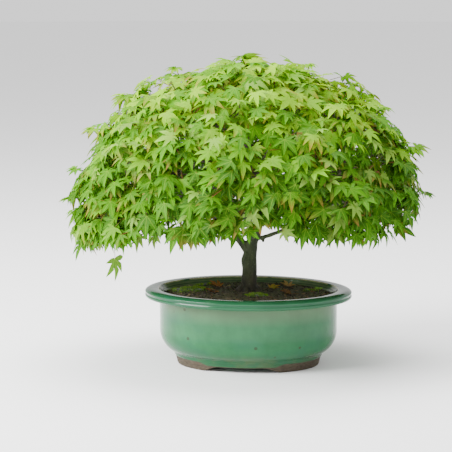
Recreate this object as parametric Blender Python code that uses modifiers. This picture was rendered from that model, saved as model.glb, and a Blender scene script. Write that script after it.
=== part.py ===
"""A small-leaved maple grown as a bonsai in an oval glazed pot.

Metres, +Z up. The origin is on the ground under the middle of the pot, and +X runs along the pot's
long axis. The tree is modelled with its best side facing -Y and then turned a little in its pot.
"""

import math

import bmesh
import bpy
from mathutils import Matrix, Vector

GAP = 0.0003  # clearance between pieces that touch
SEAT_GAP = 0.0008  # the same between a twig's flat tip and the cupped cushion of leaves on it

# Pot: half sizes along its long axis. The oval's width is a share of its length at every height.
OVAL = 0.80
POT_HEIGHT = 0.111
RIM_HALF = 0.152
OPENING_HALF = 0.131
WALL_HALF = 0.130
WALL = 0.006
FOOT_HALF = 0.103
FOOT_WIDTH = 0.012
FLOOR_UNDER = 0.0090
FLOOR = 0.0065
LIP_HEIGHT = 0.0135
BELLY_WIDE = 0.032
BELLY_HIGH = 0.036
BELLY_LEVEL = 0.052
ARCH_HEIGHT = 0.0080
ARCH_BOTTOM = 0.057
ARCH_TOP = 0.0365
DRAIN_RADIUS = 0.009
DRAIN_OFFSET = 0.045
SCREEN_SIDE = 0.032
SCREEN_THICK = 0.0010
POT_STEPS = 40

# Soil: domed a little towards the trunk
SOIL_BELOW_RIM = 0.0090
SOIL_RISE = 0.0050

# Tree: its trunk, the height where it forks and how deep its foot stands in the soil
TREE_TURN = math.radians(8)
TRUNK_RADIUS = 0.0110
TRUNK_FLARE = 0.0128
TRUNK_DEPTH = 0.022
FORK_HEIGHT = 0.180
TWIG_RADIUS = 0.0021
TIP_RADIUS = 0.0013

# Crown: half an ellipsoid over a shallow skirt, a hollow dome of leaf
CROWN_LEVEL = 0.220
CROWN_LONG = 0.252
CROWN_DEEP = 0.226
CROWN_RISE = 0.224
CROWN_DROP = 0.105
CROWN_INNER = 0.875
CAP_TILT = math.radians(13)
# (sprays, lower tilt in degrees) of each ring below the cap; the last ring ends at the skirt's edge
RINGS = ((6, 35), (10, 56), (12, 77), (12, 110))
SPRAY_ROUNDING = 0.55

# Loose things on the soil
LITTER_THICK = 0.0016
BLADE_THICK = 0.0012

for old in list(bpy.data.objects):
    bpy.data.objects.remove(old, do_unlink=True)

model = bpy.data.collections.new("bonsai_tree")
guides = bpy.data.collections.new("cutters")
wood_parts = bpy.data.collections.new("wood_pieces")
for collection in (model, guides, wood_parts):
    bpy.context.scene.collection.children.link(collection)


def finish_material(name, colour, roughness, metallic=0.0):
    """A plain surface of one colour."""
    material = bpy.data.materials.new(name)
    material.use_nodes = True
    shader = material.node_tree.nodes["Principled BSDF"]
    shader.inputs["Base Color"].default_value = (*colour, 1.0)
    shader.inputs["Roughness"].default_value = roughness
    shader.inputs["Metallic"].default_value = metallic
    return material


GLAZE = finish_material("green_glaze", (0.165, 0.345, 0.215), 0.12)
SCREEN = finish_material("screen_plastic", (0.03, 0.03, 0.03), 0.6)
EARTH = finish_material("soil", (0.045, 0.035, 0.022), 0.95)
MOSS = finish_material("moss", (0.085, 0.150, 0.025), 0.95)
DRY_LEAF = finish_material("dry_leaf", (0.300, 0.140, 0.045), 0.8)
SPROUT = finish_material("sprout", (0.250, 0.480, 0.060), 0.6)
BARK = finish_material("bark", (0.060, 0.062, 0.040), 0.85)
LEAF = finish_material("leaf", (0.190, 0.400, 0.045), 0.5)


def add_object(name, mesh, material, collection=model, smooth_to=40.0):
    """Put a finished mesh in the scene, smooth where its faces meet at less than an angle."""
    mesh.materials.clear()
    if material:
        mesh.materials.append(material)
    mesh.shade_smooth()
    mesh.set_sharp_from_angle(angle=math.radians(smooth_to))
    obj = bpy.data.objects.new(name, mesh)
    collection.objects.link(obj)
    return obj


def as_guide(obj, collection=guides):
    """Mark an object that only cuts or joins others."""
    for owner in list(obj.users_collection):
        owner.objects.unlink(obj)
    collection.objects.link(obj)
    obj.hide_render = True
    obj.display_type = "WIRE"
    return obj


def evaluated_mesh(obj):
    """The mesh that an object's modifiers or curve make, in the object's own space."""
    graph = bpy.context.evaluated_depsgraph_get()
    return bpy.data.meshes.new_from_object(obj.evaluated_get(graph))


def boolean(obj, operation, other, solver="EXACT"):
    """Cut an object with a guide, or join a collection of pieces to it."""
    modifier = obj.modifiers.new(f"{operation.lower()}_{other.name}", "BOOLEAN")
    modifier.operation = operation
    modifier.solver = solver
    if isinstance(other, bpy.types.Collection):
        modifier.operand_type = "COLLECTION"
        modifier.collection = other
    else:
        modifier.object = other


def arc(centre, wide, high, start, end, steps):
    """Points of an elliptic arc in a profile, from one angle in degrees to another."""
    points = []
    for step in range(steps + 1):
        angle = math.radians(start + (end - start) * step / steps)
        points.append((centre[0] + wide * math.cos(angle), centre[1] + high * math.sin(angle)))
    return points


def oval_turned(name, profile, material):
    """Spin a profile about Z and narrow it to the pot's oval."""
    mesh = bpy.data.meshes.new(name)
    edges = [(index, index + 1) for index in range(len(profile) - 1)]
    mesh.from_pydata([(radius, 0, height) for radius, height in profile], edges, [])
    blank = bpy.data.objects.new(name, mesh)
    model.objects.link(blank)
    screw = blank.modifiers.new("turn", "SCREW")
    screw.steps = POT_STEPS
    screw.render_steps = POT_STEPS
    screw.use_merge_vertices = True
    screw.merge_threshold = 0.00001
    turned = evaluated_mesh(blank)
    turned.transform(Matrix.Diagonal((1.0, OVAL, 1.0, 1.0)))
    bpy.data.objects.remove(blank, do_unlink=True)
    return add_object(name, turned, material)


def cylinder(name, radius, low, high, x=0.0, sides=20):
    """A guide cylinder along Z."""
    mesh = bpy.data.meshes.new(name)
    shape = bmesh.new()
    place = Matrix.Translation((x, 0, (low + high) / 2))
    bmesh.ops.create_cone(shape, cap_ends=True, segments=sides, radius1=radius, radius2=radius,
                          depth=high - low, matrix=place)
    shape.to_mesh(mesh)
    shape.free()
    return as_guide(add_object(name, mesh, None))


def block(name, size, centre, material, collection=model):
    """A box with its size in its mesh."""
    mesh = bpy.data.meshes.new(name)
    shape = bmesh.new()
    bmesh.ops.create_cube(shape, size=1.0, matrix=Matrix.Diagonal((*size, 1.0)))
    shape.to_mesh(mesh)
    shape.free()
    obj = add_object(name, mesh, material, collection)
    obj.location = centre
    return obj


# Pot ------------------------------------------------------------------------------------------

floor_top = FLOOR_UNDER + FLOOR
lip_bottom = POT_HEIGHT - LIP_HEIGHT
belly_centre = (WALL_HALF - BELLY_WIDE, BELLY_LEVEL)


def inner_wall(clearance):
    """The pot's inside below the lip, floor to brim, drawn in by a clearance."""
    lowest = math.degrees(math.asin((BELLY_LEVEL - floor_top) / (BELLY_HIGH - WALL + 0.0080)))
    return arc(belly_centre, BELLY_WIDE - WALL - clearance, BELLY_HIGH - WALL + 0.0080 - clearance,
               -lowest, 0, 6)


def pot_profile():
    """From the middle of the inside floor, up the wall, over the lip and down the outside."""
    inside = inner_wall(0.0)
    brim = [(WALL_HALF - WALL, lip_bottom), (OPENING_HALF, POT_HEIGHT - 0.0012)]
    roll_wide = (RIM_HALF - OPENING_HALF) * 0.55
    top_roll = arc((RIM_HALF - roll_wide, POT_HEIGHT - 0.0055), roll_wide, 0.0055, 100, 0, 5)
    bead = arc((RIM_HALF - 0.0050, lip_bottom + 0.0038), 0.0045, 0.0038, 35, -90, 4)
    under = [(WALL_HALF + 0.0030, lip_bottom), (WALL_HALF, lip_bottom - 0.0030)]
    belly = arc(belly_centre, BELLY_WIDE, BELLY_HIGH, 0, -70, 6)
    foot = [(FOOT_HALF + 0.0048, 0.0135), (FOOT_HALF + 0.0036, 0.0122), (FOOT_HALF, 0.0)]
    underside = [(FOOT_HALF - FOOT_WIDTH, 0.0), (FOOT_HALF - FOOT_WIDTH, FLOOR_UNDER)]
    middle_top = [(0.0, floor_top)]
    middle_under = [(0.0, FLOOR_UNDER)]
    return middle_top + inside + brim + top_roll + bead + under + belly + foot + underside + middle_under


def make_pot():
    """The fired pot: turned oval, an arch under the front and back, two drain holes."""
    pot = oval_turned("pot", pot_profile(), GLAZE)
    reach = 4 * FOOT_HALF
    arches = block("arch_cutter", (2.0, reach, 2 * ARCH_HEIGHT), (0, 0, 0), None)
    for corner in arches.data.vertices:
        half = ARCH_TOP if corner.co.z > 0 else 2 * ARCH_BOTTOM - ARCH_TOP
        corner.co.x = math.copysign(half, corner.co.x)
    boolean(pot, "DIFFERENCE", as_guide(arches))
    for side, offset in (("left", -DRAIN_OFFSET), ("right", DRAIN_OFFSET)):
        hole = cylinder(f"drain_cutter_{side}", DRAIN_RADIUS, FLOOR_UNDER / 2, 2 * floor_top, offset)
        boolean(pot, "DIFFERENCE", hole)
        block(f"drain_screen_{side}", (SCREEN_SIDE, SCREEN_SIDE, SCREEN_THICK),
              (offset, 0, floor_top + GAP + SCREEN_THICK / 2), SCREEN)


make_pot()

# Soil -----------------------------------------------------------------------------------------

soil_edge = POT_HEIGHT - SOIL_BELOW_RIM
soil_half = WALL_HALF - WALL - GAP


def soil_height(x, y):
    """Height of the domed soil over a point."""
    share = (x / soil_half) ** 2 + (y / (soil_half * OVAL)) ** 2
    return soil_edge + SOIL_RISE * (1 - share)


def make_soil():
    """The soil fills the pot, with room for the screens and the trunk's foot."""
    side = inner_wall(GAP)
    base = (side[0][0], floor_top + GAP)
    side = [point for point in side if point[1] > base[1] + GAP]
    top = [(soil_half * share, soil_height(soil_half * share, 0)) for share in
           (1.0, 0.85, 0.7, 0.52, 0.34, 0.17, 0.0)]
    profile = [(0.0, base[1]), base] + side + top
    soil = oval_turned("soil", profile, EARTH)
    for name, offset in (("left", -DRAIN_OFFSET), ("right", DRAIN_OFFSET)):
        room = SCREEN_SIDE + 2 * GAP
        tall = 2 * (SCREEN_THICK + GAP)
        place = (offset, 0, floor_top + GAP)
        cutter = block(f"screen_room_{name}", (room, room, tall), place, None)
        boolean(soil, "DIFFERENCE", as_guide(cutter))
    centre_top = soil_height(0, 0)
    socket = cylinder("trunk_socket", TRUNK_FLARE + GAP, centre_top - TRUNK_DEPTH - GAP,
                      centre_top + 0.01, sides=28)
    boolean(soil, "DIFFERENCE", socket)


make_soil()

# Tree: everything below hangs from one empty, which turns it in the pot --------------------------

tree = bpy.data.objects.new("tree_turn", None)
model.objects.link(tree)
tree.rotation_euler.z = TREE_TURN


def on_tree(obj):
    """Turn a piece with the tree."""
    obj.parent = tree
    return obj


def tube(name, points, radii, sides, collection):
    """A tapering stretch of wood along a route, closed at both ends."""
    curve = bpy.data.curves.new(name, "CURVE")
    curve.dimensions = "3D"
    curve.bevel_depth = 1.0
    curve.bevel_resolution = (sides - 4) // 2
    curve.use_fill_caps = True
    spline = curve.splines.new("POLY")
    spline.points.add(len(points) - 1)
    for target, point, radius in zip(spline.points, points, radii):
        target.co = (*point, 1.0)
        target.radius = radius
    blank = bpy.data.objects.new(name, curve)
    collection.objects.link(blank)
    mesh = evaluated_mesh(blank)
    bpy.data.objects.remove(blank, do_unlink=True)
    shape = bmesh.new()
    shape.from_mesh(mesh)
    bmesh.ops.remove_doubles(shape, verts=shape.verts, dist=0.00001)
    bmesh.ops.recalc_face_normals(shape, faces=shape.faces)
    shape.to_mesh(mesh)
    shape.free()
    return on_tree(add_object(name, mesh, BARK, collection))


def bend(start, leave, arrive, end, steps):
    """A cubic route from start to end, leaving and arriving along two handles."""
    points = []
    for step in range(steps + 1):
        t = step / steps
        s = 1 - t
        points.append(start * s ** 3 + (start + leave) * 3 * s * s * t
                      + (end - arrive) * 3 * s * t * t + end * t ** 3)
    return points


def taper(first, last, count):
    """Radii that shrink evenly from one end to the other."""
    return [first + (last - first) * step / (count - 1) for step in range(count)]


def along(points, share):
    """The point at a share of a route's count of stretches."""
    place = share * (len(points) - 1)
    index = min(int(place), len(points) - 2)
    return points[index].lerp(points[index + 1], place - index)


# Crown: each spray of leaves is a cushion in its own cell of the dome ---------------------------

crown_centre = Vector((0, 0, CROWN_LEVEL))


def crown_point(azimuth, tilt, depth):
    """A point of the crown: tilt is measured from the top, depth is 1 on the outside."""
    rise = CROWN_RISE if tilt < math.pi / 2 else CROWN_DROP
    reach = math.sin(tilt)
    return crown_centre + depth * Vector((CROWN_LONG * reach * math.cos(azimuth),
                                          CROWN_DEEP * reach * math.sin(azimuth),
                                          rise * math.cos(tilt)))


def skirt_tilt(azimuth, lowest):
    """The crown's lower edge: low at the sides, higher at the back and highest at the front."""
    front = max(0.0, -math.sin(azimuth))
    back = max(0.0, math.sin(azimuth))
    return lowest - math.radians(22) * front ** 1.5 - math.radians(8) * back


def ring_spray(index, count, upper, lower, outside, last):
    """The map from a unit cube to one cell of a ring."""
    middle = 2 * math.pi * index / count
    half = math.pi / count

    def place(p):
        azimuth = middle + half * p.x
        low = skirt_tilt(azimuth, lower) if last else lower
        tilt = (upper + low) / 2 - (low - upper) / 2 * p.y
        depth = (outside + CROWN_INNER) / 2 + (outside - CROWN_INNER) / 2 * p.z
        return crown_point(azimuth, tilt, depth)

    return place


def cap_spray(p):
    """The map from a unit cube to the round cell at the top of the crown."""
    depth = (1 + CROWN_INNER) / 2 + (1 - CROWN_INNER) / 2 * p.z
    tilt = CAP_TILT * min(1.0, math.hypot(p.x, p.y))
    return crown_point(math.atan2(p.y, p.x), tilt, depth)


def rounded(corner):
    """Draw a point of a cube towards the ball inside it."""
    x, y, z = corner
    ball = Vector((x * math.sqrt(1 - y * y / 2 - z * z / 2 + y * y * z * z / 3),
                   y * math.sqrt(1 - z * z / 2 - x * x / 2 + z * z * x * x / 3),
                   z * math.sqrt(1 - x * x / 2 - y * y / 2 + x * x * y * y / 3)))
    return corner.lerp(ball, SPRAY_ROUNDING)


def make_spray(name, place):
    """One cushion of leaves, and the seat of its twig: a point inside it and the way in."""
    mesh = bpy.data.meshes.new(name)
    shape = bmesh.new()
    bmesh.ops.create_cube(shape, size=2.0)
    bmesh.ops.subdivide_edges(shape, edges=shape.edges, cuts=2, use_grid_fill=True)
    seat = []
    for vert in shape.verts:
        inner_middle = vert.co.z < -0.9 and max(abs(vert.co.x), abs(vert.co.y)) < 0.5
        vert.co = place(rounded(vert.co.copy()))
        if inner_middle:
            seat.append(vert.co.copy())
    shape.normal_update()
    shape.to_mesh(mesh)
    shape.free()
    on_tree(add_object(name, mesh, LEAF, smooth_to=80.0))
    middle = sum(seat, Vector()) / 4
    inward = (crown_centre - middle).normalized()
    normal = (seat[1] - seat[0]).cross(seat[2] - seat[0]).normalized()
    if normal.dot(inward) < 0:
        normal.negate()
    return middle, normal


def make_crown():
    """All the sprays, with each one's ring, azimuth and seat."""
    seats = [(-1, 0.0, *make_spray("leaf_spray_00", cap_spray))]
    upper = CAP_TILT
    number = 1
    for ring, (count, lower) in enumerate(RINGS):
        lower = math.radians(lower)
        last = ring == len(RINGS) - 1
        for index in range(count):
            outside = 1.0 if ring > 1 else 1.0 - 0.006 * (index * 7 % 5)
            place = ring_spray(index, count, upper, lower, outside, last)
            seat = make_spray(f"leaf_spray_{number:02d}", place)
            seats.append((ring, 2 * math.pi * index / count, *seat))
            number += 1
        upper = lower
    return seats


spray_seats = make_crown()

# Wood: trunk, leader, limbs and twigs, joined into one grown piece -------------------------------

trunk_foot = soil_height(0, 0) - TRUNK_DEPTH
trunk_route = [Vector(point) for point in (
    (0.0, 0.0, trunk_foot), (0.0, 0.0, trunk_foot + TRUNK_DEPTH + 0.002),
    (0.001, 0.0, trunk_foot + TRUNK_DEPTH + 0.012), (0.002, 0.0, FORK_HEIGHT - 0.040),
    (0.001, 0.0, FORK_HEIGHT - 0.028), (0.004, 0.0, FORK_HEIGHT - 0.014),
    (0.006, 0.001, FORK_HEIGHT), (0.013, 0.003, FORK_HEIGHT + 0.018),
    (0.019, 0.004, FORK_HEIGHT + 0.045), (0.010, -0.002, FORK_HEIGHT + 0.085),
    (0.000, 0.003, FORK_HEIGHT + 0.125), (0.004, 0.000, FORK_HEIGHT + 0.160))]
trunk_radii = (TRUNK_FLARE, TRUNK_FLARE, TRUNK_RADIUS * 1.06, TRUNK_RADIUS, TRUNK_RADIUS * 1.04,
               TRUNK_RADIUS * 0.80, TRUNK_RADIUS * 0.78, TRUNK_RADIUS * 0.62, TRUNK_RADIUS * 0.52,
               TRUNK_RADIUS * 0.44, TRUNK_RADIUS * 0.36, TRUNK_RADIUS * 0.26)
# (azimuth, height above the fork where it leaves, first rise, share of the crown it reaches,
#  height of its end, first and last radius) of each limb
LIMBS = (
    (180, -0.020, 0.055, 0.60, 0.262, 0.0060, 0.0034),
    (2, 0.002, 0.004, 0.62, 0.232, 0.0031, 0.0025),
    (-52, 0.030, 0.030, 0.56, 0.285, 0.0040, 0.0028),
    (-122, 0.012, 0.034, 0.56, 0.278, 0.0044, 0.0028),
    (56, 0.022, 0.032, 0.58, 0.280, 0.0044, 0.0028),
    (121, 0.040, 0.028, 0.56, 0.290, 0.0040, 0.0028),
)
# share of its limb at which the twig to each ring starts
RING_START = (0.58, 0.70, 0.86, 0.97)


def make_limb(number, azimuth, above, rise, reach, end_height, first, last):
    """A limb that leaves the trunk, rises and then runs out level under the leaves."""
    angle = math.radians(azimuth)
    out = Vector((math.cos(angle), math.sin(angle), 0))
    leave_height = FORK_HEIGHT + above
    below = [point for point in trunk_route if point.z <= leave_height][-1]
    over = trunk_route[trunk_route.index(below) + 1]
    start = below.lerp(over, (leave_height - below.z) / (over.z - below.z))
    span = reach * math.hypot(CROWN_LONG * out.x, CROWN_DEEP * out.y)
    end = Vector((span * out.x, span * out.y, end_height))
    leave = out * span * 0.22 + Vector((0, 0, rise))
    arrive = out * span * 0.40 + Vector((0, 0, 0.012))
    route = bend(start, leave, arrive, end, 7)
    tube(f"limb_{number}", route, taper(first, last, len(route)), 8, wood_parts)
    return angle, route


def make_twig(number, ring, azimuth, seat, inward, limbs):
    """A twig from its limb, or from the leader at the top, to a spray."""
    if ring < 1:
        share = 0.97 if ring < 0 else 0.80 + 0.025 * (number % 6)
        start = along(trunk_route, share)
        lean = Vector((0, 0, 0.3))
    else:
        angle, route = min(limbs, key=lambda limb: 1 - math.cos(limb[0] - azimuth))
        share = RING_START[ring] - 0.035 * (number % 3)
        start = along(route, share)
        lean = (route[-1] - route[-2]).normalized()
    end = seat + inward * SEAT_GAP
    span = (end - start).length
    route = bend(start, lean * span * 0.35, -inward * span * 0.38, end, 4)
    tube(f"twig_{number:02d}", route, taper(TWIG_RADIUS, TIP_RADIUS, len(route)), 6, wood_parts)


def make_wood():
    """The trunk with every limb, twig and stub joined to it."""
    wood = tube("trunk_and_branches", trunk_route, trunk_radii, 14, model)
    limbs = [make_limb(number, *limb) for number, limb in enumerate(LIMBS)]
    for number, (ring, azimuth, seat, inward) in enumerate(spray_seats):
        make_twig(number, ring, azimuth, seat, inward, limbs)
    right = along(limbs[1][1], 0.13)
    tube("cut_stub", [right, right + Vector((0.0006, 0, -0.0072))], (0.0024, 0.0017), 8, wood_parts)
    left_end = along(limbs[0][1], 0.93)
    droop_tip = Vector((-0.194, -0.030, 0.186))
    droop = bend(left_end, Vector((-0.030, -0.016, -0.010)), Vector((0, 0, -0.022)), droop_tip, 5)
    tube("drooping_twig", droop, taper(TWIG_RADIUS, TIP_RADIUS, len(droop)), 6, wood_parts)
    for piece in list(wood_parts.objects):
        as_guide(piece, wood_parts)
    boolean(wood, "UNION", wood_parts)
    return droop_tip


droop_end = make_wood()

# Single leaves ----------------------------------------------------------------------------------

LOBE_HALF = 0.155
# (turn from the tip in degrees, length as a share of the blade) of the lobes on one side
LOBES = ((0, 1.0), (36, 0.90), (74, 0.68), (118, 0.40))


def leaf_outline(length, side_lobes):
    """Outline of a lobed leaf, its stalk end at the origin and its middle lobe along +Y."""
    lobes = [(-turn, share) for turn, share in reversed(LOBES[1:side_lobes + 1])]
    lobes += list(LOBES[:side_lobes + 1])
    outline = [Vector((0.0, -0.02 * length, 0.0))]
    for index, (turn, share) in enumerate(lobes):
        angle = math.radians(turn)
        way = Vector((math.sin(angle), math.cos(angle), 0))
        side = Vector((way.y, -way.x, 0))
        reach = length * share
        outline.append(way * reach * 0.50 - side * reach * LOBE_HALF)
        outline.append(way * reach)
        outline.append(way * reach * 0.50 + side * reach * LOBE_HALF)
        if index < len(lobes) - 1:
            between = math.radians((turn + lobes[index + 1][0]) / 2)
            outline.append(Vector((math.sin(between), math.cos(between), 0)) * length * 0.24)
    return outline


def leaf_sheet(outline, thick):
    """A flat leaf of even thickness, as a bmesh with its underside at z = 0."""
    shape = bmesh.new()
    face = shape.faces.new([shape.verts.new(point) for point in outline])
    middle = bmesh.ops.poke(shape, faces=[face])["verts"][0]
    middle.co = Vector((0, outline[0].y * -4, 0))
    top = bmesh.ops.extrude_face_region(shape, geom=shape.faces[:])["geom"]
    for item in top:
        if isinstance(item, bmesh.types.BMVert):
            item.co.z += thick
    bmesh.ops.recalc_face_normals(shape, faces=shape.faces)
    return shape


def make_fallen_leaf(name, x, y, turn, length):
    """A dead leaf that lies on the soil and follows its dome."""
    shape = leaf_sheet(leaf_outline(length, 2), LITTER_THICK)
    place = Matrix.Translation((x, y, 0)) @ Matrix.Rotation(math.radians(turn), 4, "Z")
    bmesh.ops.transform(shape, matrix=place, verts=shape.verts)
    for vert in shape.verts:
        vert.co.z += soil_height(vert.co.x, vert.co.y) + GAP
    mesh = bpy.data.meshes.new(name)
    shape.to_mesh(mesh)
    shape.free()
    add_object(name, mesh, DRY_LEAF)


def make_moss(name, x, y, wide, deep, thick):
    """A low cushion of moss, flat underneath where it grips the soil."""
    mesh = bpy.data.meshes.new(name)
    shape = bmesh.new()
    bmesh.ops.create_uvsphere(shape, u_segments=14, v_segments=8, radius=1.0)
    for vert in shape.verts:
        angle = math.atan2(vert.co.y, vert.co.x)
        wave = 1 + 0.10 * math.sin(3 * angle + 40 * x) + 0.06 * math.sin(5 * angle)
        across = x + wide * wave * vert.co.x
        along_y = y + deep * wave * vert.co.y
        rise = max(0.0, vert.co.z) * thick
        vert.co = Vector((across, along_y, soil_height(across, along_y) + GAP + rise))
    shape.to_mesh(mesh)
    shape.free()
    add_object(name, mesh, MOSS)


def make_stalked_leaf(name, sheet, route, radius, material):
    """A leaf blade with its stalk, grown as one piece."""
    mesh = bpy.data.meshes.new(name)
    sheet.to_mesh(mesh)
    sheet.free()
    leaf = on_tree(add_object(name, mesh, material))
    stalk = tube(f"{name}_stalk", route, taper(radius, radius, len(route)), 6, guides)
    # The exact solver loses a stalk that runs along the blade's own face
    boolean(leaf, "UNION", as_guide(stalk), solver="MANIFOLD")


def make_hanging_leaf():
    """The leaf that hangs tip down on a long stalk under the left of the crown."""
    length = 0.036
    top = droop_end - Vector((0, 0, GAP))
    base = droop_end + Vector((0.001, 0.0, -0.027))
    sheet = leaf_sheet(leaf_outline(length, 3), BLADE_THICK)
    hang = Matrix.Rotation(math.radians(-96), 4, "X") @ Matrix.Rotation(math.radians(8), 4, "Z")
    bmesh.ops.transform(sheet, matrix=Matrix.Translation(base) @ hang, verts=sheet.verts)
    route = [top, top.lerp(base, 0.5), base - Vector((0, 0, 0.003))]
    make_stalked_leaf("hanging_leaf", sheet, route, 0.0010, LEAF)


def make_seedling():
    """A sprout with a few round leaves at the right of the soil."""
    x, y = 0.102, -0.010
    tall = 0.008
    ground = soil_height(x, y) + GAP
    sheet = leaf_sheet(leaf_outline(0.0105, 3), BLADE_THICK)
    place = Matrix.Translation((x, y - 0.0009, ground + tall)) @ Matrix.Rotation(0.10, 4, "X")
    bmesh.ops.transform(sheet, matrix=place, verts=sheet.verts)
    route = [Vector((x, y, ground)), Vector((x, y, ground + tall + BLADE_THICK * 0.4))]
    make_stalked_leaf("seedling", sheet, route, 0.0010, SPROUT)


make_hanging_leaf()
make_seedling()

make_fallen_leaf("fallen_leaf_0", -0.046, 0.030, 70, 0.017)
make_fallen_leaf("fallen_leaf_1", -0.050, -0.014, 160, 0.015)
make_fallen_leaf("fallen_leaf_2", 0.030, 0.022, -60, 0.016)
make_fallen_leaf("fallen_leaf_3", 0.055, 0.045, 35, 0.0155)
make_fallen_leaf("fallen_leaf_4", 0.064, -0.018, 110, 0.016)
make_moss("moss_0", -0.086, 0.006, 0.026, 0.017, 0.0040)
make_moss("moss_1", -0.074, 0.050, 0.014, 0.010, 0.0030)
make_moss("moss_2", 0.018, -0.038, 0.016, 0.010, 0.0030)
make_moss("moss_3", 0.088, 0.022, 0.010, 0.008, 0.0025)
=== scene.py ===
import math
import random

import bmesh
import bpy
from mathutils import Matrix, Vector, noise


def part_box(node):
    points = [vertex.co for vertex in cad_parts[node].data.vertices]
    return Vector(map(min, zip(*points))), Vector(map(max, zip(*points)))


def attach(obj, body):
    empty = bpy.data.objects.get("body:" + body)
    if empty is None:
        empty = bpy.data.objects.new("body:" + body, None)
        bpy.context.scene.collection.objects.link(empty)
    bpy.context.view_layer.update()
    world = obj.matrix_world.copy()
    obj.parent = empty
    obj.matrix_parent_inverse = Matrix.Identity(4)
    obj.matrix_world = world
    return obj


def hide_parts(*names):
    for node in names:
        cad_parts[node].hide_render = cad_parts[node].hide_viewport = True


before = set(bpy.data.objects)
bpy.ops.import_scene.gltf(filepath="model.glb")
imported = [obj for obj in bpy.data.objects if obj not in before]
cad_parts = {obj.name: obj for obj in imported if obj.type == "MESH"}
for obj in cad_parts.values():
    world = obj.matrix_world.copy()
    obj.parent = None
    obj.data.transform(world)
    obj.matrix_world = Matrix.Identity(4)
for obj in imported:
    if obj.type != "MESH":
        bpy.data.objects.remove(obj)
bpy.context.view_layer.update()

# --- Pot -------------------------------------------------------------------------------------
# A press-moulded stoneware oval with a rolled lip, dipped in a thick green glaze and fired.
# The foot ring was wiped clean before firing, so it shows grey-brown clay, and the glaze has
# broken to cream along the sharp inner edge of the lip, with a painted highlight along that edge.

OVAL = 0.80
POT_HEIGHT = 0.111
RIM_HALF = 0.152
OPENING_HALF = 0.131
WALL_HALF = 0.130
FOOT_HALF = 0.103
FLOOR_UNDER = 0.0090
FLOOR_TOP = 0.0155
LIP_BOTTOM = 0.0975
BELLY_LEVEL = 0.052
GLAZE_LINE = 0.0128
POT_STEPS = 180
ARCH_HALF_TOP = 0.0365
ARCH_HALF_BOTTOM = 0.0775
ARCH_HEIGHT = 0.0080
DRAIN_RADIUS = 0.009
DRAIN_OFFSET = 0.045


class Shading:
    """A material's node tree, with short ways to add and join nodes."""

    def __init__(self, name, roughness=0.5):
        self.material = bpy.data.materials.new(name)
        self.material.use_nodes = True
        self.nodes = self.material.node_tree.nodes
        self.links = self.material.node_tree.links
        self.shader = self.nodes["Principled BSDF"]
        self.output = self.nodes["Material Output"]
        self.shader.inputs["Roughness"].default_value = roughness
        self.place = self.nodes.new("ShaderNodeTexCoord").outputs["Object"]

    def join(self, source, target):
        if isinstance(source, (int, float)):
            target.default_value = source
        elif isinstance(source, tuple):
            target.default_value = (*source, 1.0)
        else:
            self.links.new(source, target)

    def maths(self, operation, a, b=0.0, clamp=False):
        node = self.nodes.new("ShaderNodeMath")
        node.operation = operation
        node.use_clamp = clamp
        self.join(a, node.inputs[0])
        self.join(b, node.inputs[1])
        return node.outputs[0]

    def step(self, value, low, high):
        """0 below low and 1 above high, evenly between."""
        node = self.nodes.new("ShaderNodeMapRange")
        self.join(value, node.inputs["Value"])
        node.inputs["From Min"].default_value = low
        node.inputs["From Max"].default_value = high
        return node.outputs["Result"]

    def noise(self, scale, detail=3.0, rough=0.5, place=None, stretch=None):
        node = self.nodes.new("ShaderNodeTexNoise")
        node.inputs["Scale"].default_value = scale
        node.inputs["Detail"].default_value = detail
        node.inputs["Roughness"].default_value = rough
        vector = place or self.place
        if stretch:
            mapping = self.nodes.new("ShaderNodeMapping")
            mapping.inputs["Scale"].default_value = stretch
            self.links.new(vector, mapping.inputs["Vector"])
            vector = mapping.outputs["Vector"]
        self.links.new(vector, node.inputs["Vector"])
        return node.outputs["Fac"]

    def cells(self, scale):
        node = self.nodes.new("ShaderNodeTexVoronoi")
        node.inputs["Scale"].default_value = scale
        self.links.new(self.place, node.inputs["Vector"])
        return node.outputs["Distance"]

    def mix(self, share, a, b, blend="MIX"):
        node = self.nodes.new("ShaderNodeMix")
        node.data_type = "RGBA"
        node.blend_type = blend
        self.join(share, node.inputs[0])
        self.join(a, node.inputs[6])
        self.join(b, node.inputs[7])
        return node.outputs[2]

    def part(self, axis):
        node = self.nodes.new("ShaderNodeSeparateXYZ")
        self.links.new(self.place, node.inputs[0])
        return node.outputs[axis]

    def attribute(self, name, output="Color"):
        node = self.nodes.new("ShaderNodeAttribute")
        node.attribute_name = name
        return node.outputs[output]

    def bump(self, height, strength, distance):
        node = self.nodes.new("ShaderNodeBump")
        node.inputs["Strength"].default_value = strength
        node.inputs["Distance"].default_value = distance
        self.links.new(height, node.inputs["Height"])
        self.links.new(node.outputs["Normal"], self.shader.inputs["Normal"])

    def colour(self, source):
        self.join(source, self.shader.inputs["Base Color"])

    def rough(self, source):
        self.join(source, self.shader.inputs["Roughness"])


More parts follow.
